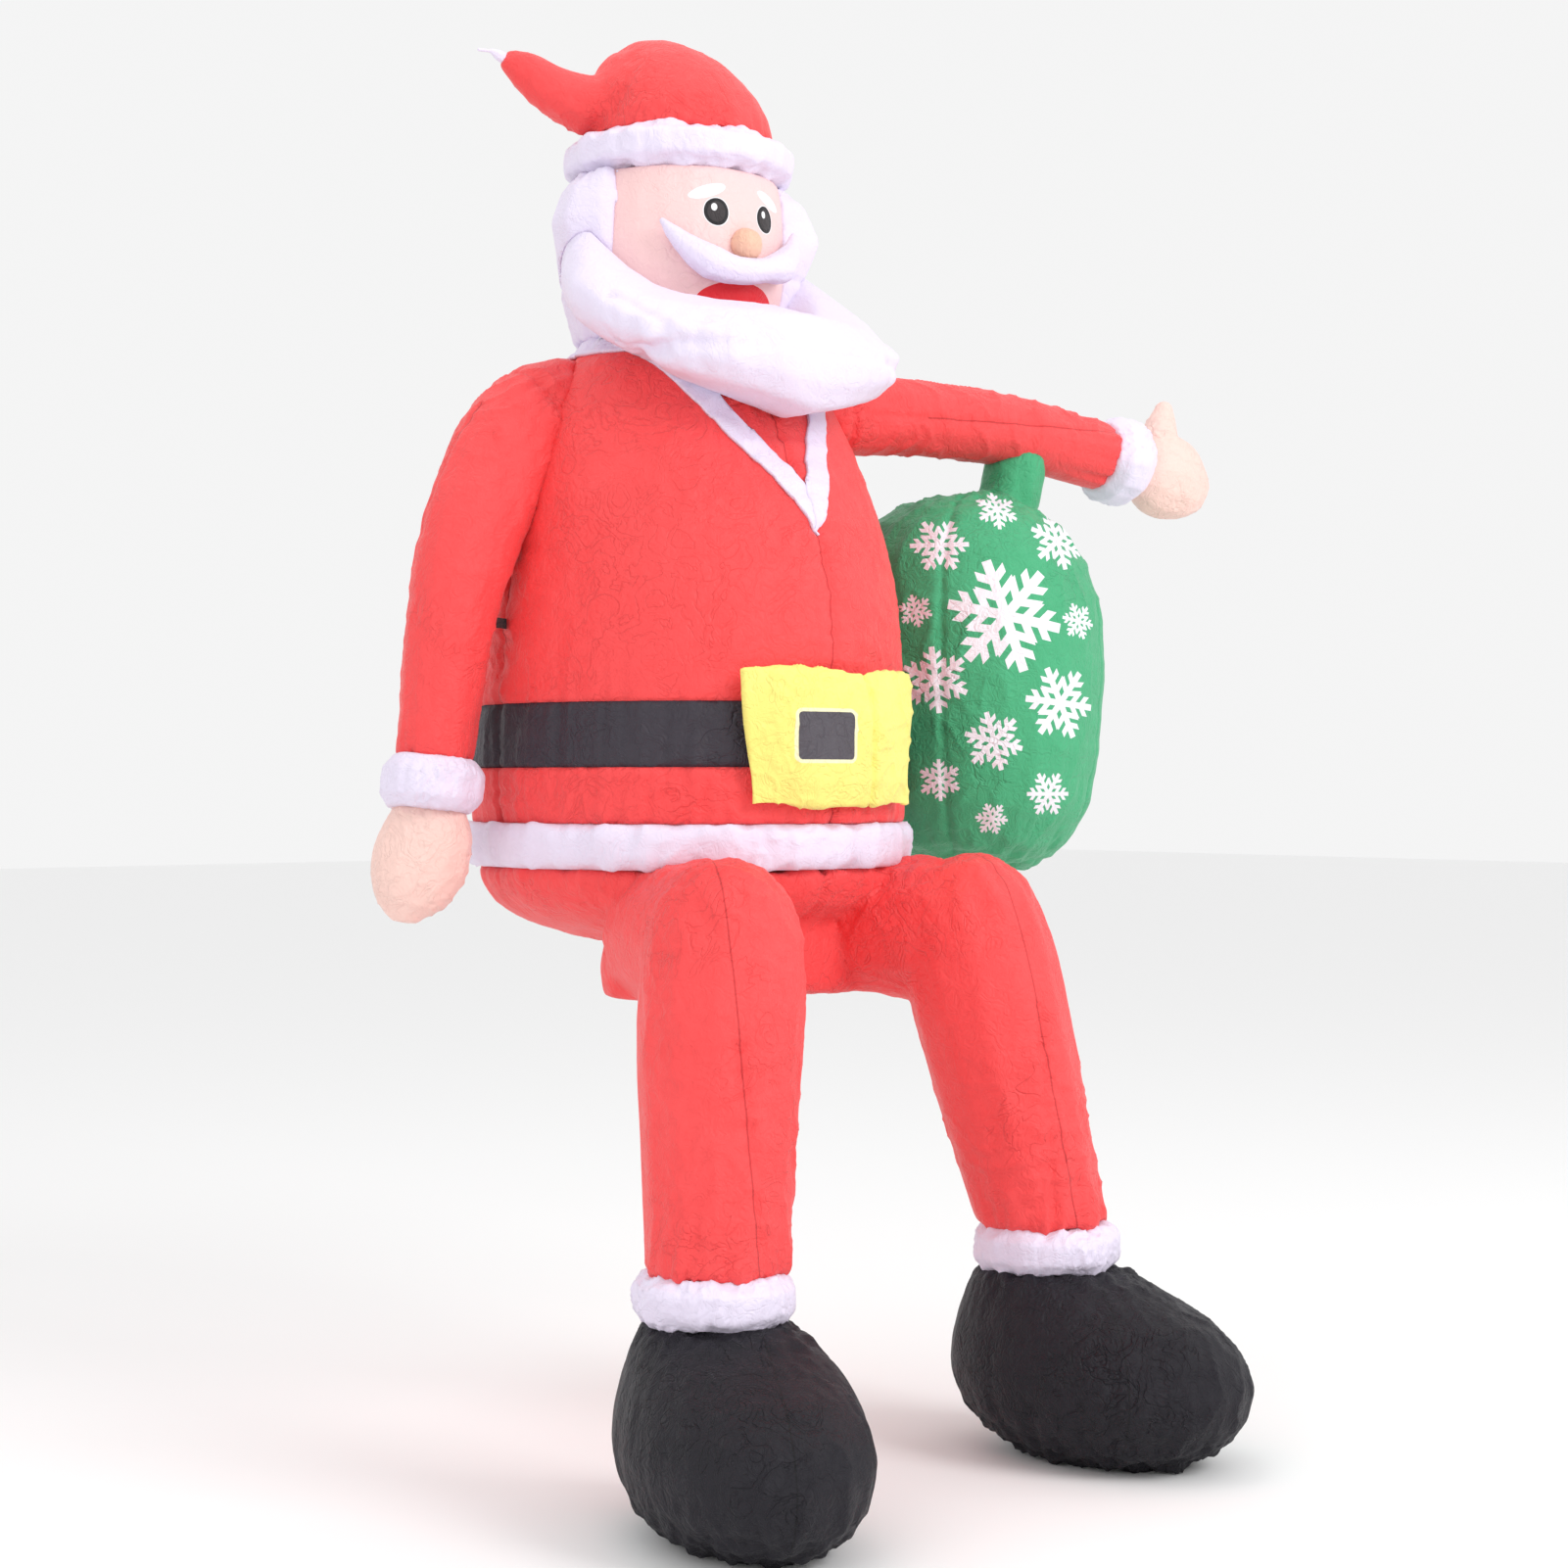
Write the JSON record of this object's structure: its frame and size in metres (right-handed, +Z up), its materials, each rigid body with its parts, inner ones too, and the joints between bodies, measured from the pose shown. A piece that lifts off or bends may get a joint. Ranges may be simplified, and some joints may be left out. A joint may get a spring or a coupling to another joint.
{
  "type": "inflatable santa figure, sitting",
  "caption": "Blow-up cloth Santa sitting on an edge with his lower legs hanging, one arm down and one arm held out over a round green sack",
  "frame": {"origin": "middle of the flat underside of his seat, where he sits on an edge; his boots hang below it", "axes": "+Z up, he faces -Y, his right hand is at -X"},
  "size_m": [1.7471, 1.2892, 2.44],
  "materials": {
    "red_cloth": "matte red nylon taffeta",
    "white_cloth": "matte white nylon taffeta",
    "skin_cloth": "matte skin-coloured nylon taffeta",
    "nose_cloth": "matte orange-pink nylon taffeta",
    "black_cloth": "matte charcoal nylon taffeta",
    "boot_cloth": "matte black nylon taffeta",
    "yellow_cloth": "matte yellow nylon taffeta",
    "green_cloth": "matte green nylon taffeta",
    "webbing": "matte black woven webbing"
  },
  "bodies": {
    "root": {"hat_crown": "red_cloth", "coat_body": "red_cloth", "coat_skirt": "red_cloth", "trousers": "red_cloth", "sleeve_right": "red_cloth", "sleeve_left": "red_cloth", "hat_tip": "white_cloth", "hat_band": "white_cloth", "hair": "white_cloth", "beard": "white_cloth", "moustache": "white_cloth", "collar": "white_cloth", "coat_hem": "white_cloth", "cuff_right": "white_cloth", "cuff_left": "white_cloth", "leg_cuff_right": "white_cloth", "leg_cuff_left": "white_cloth", "head": "skin_cloth", "mitten_right": "skin_cloth", "mitten_left": "skin_cloth", "nose": "nose_cloth", "belt": "black_cloth", "boot_right": "boot_cloth", "boot_left": "boot_cloth", "buckle": "yellow_cloth", "sack": "green_cloth", "side_strap": "webbing"}
  },
  "joints": []
}
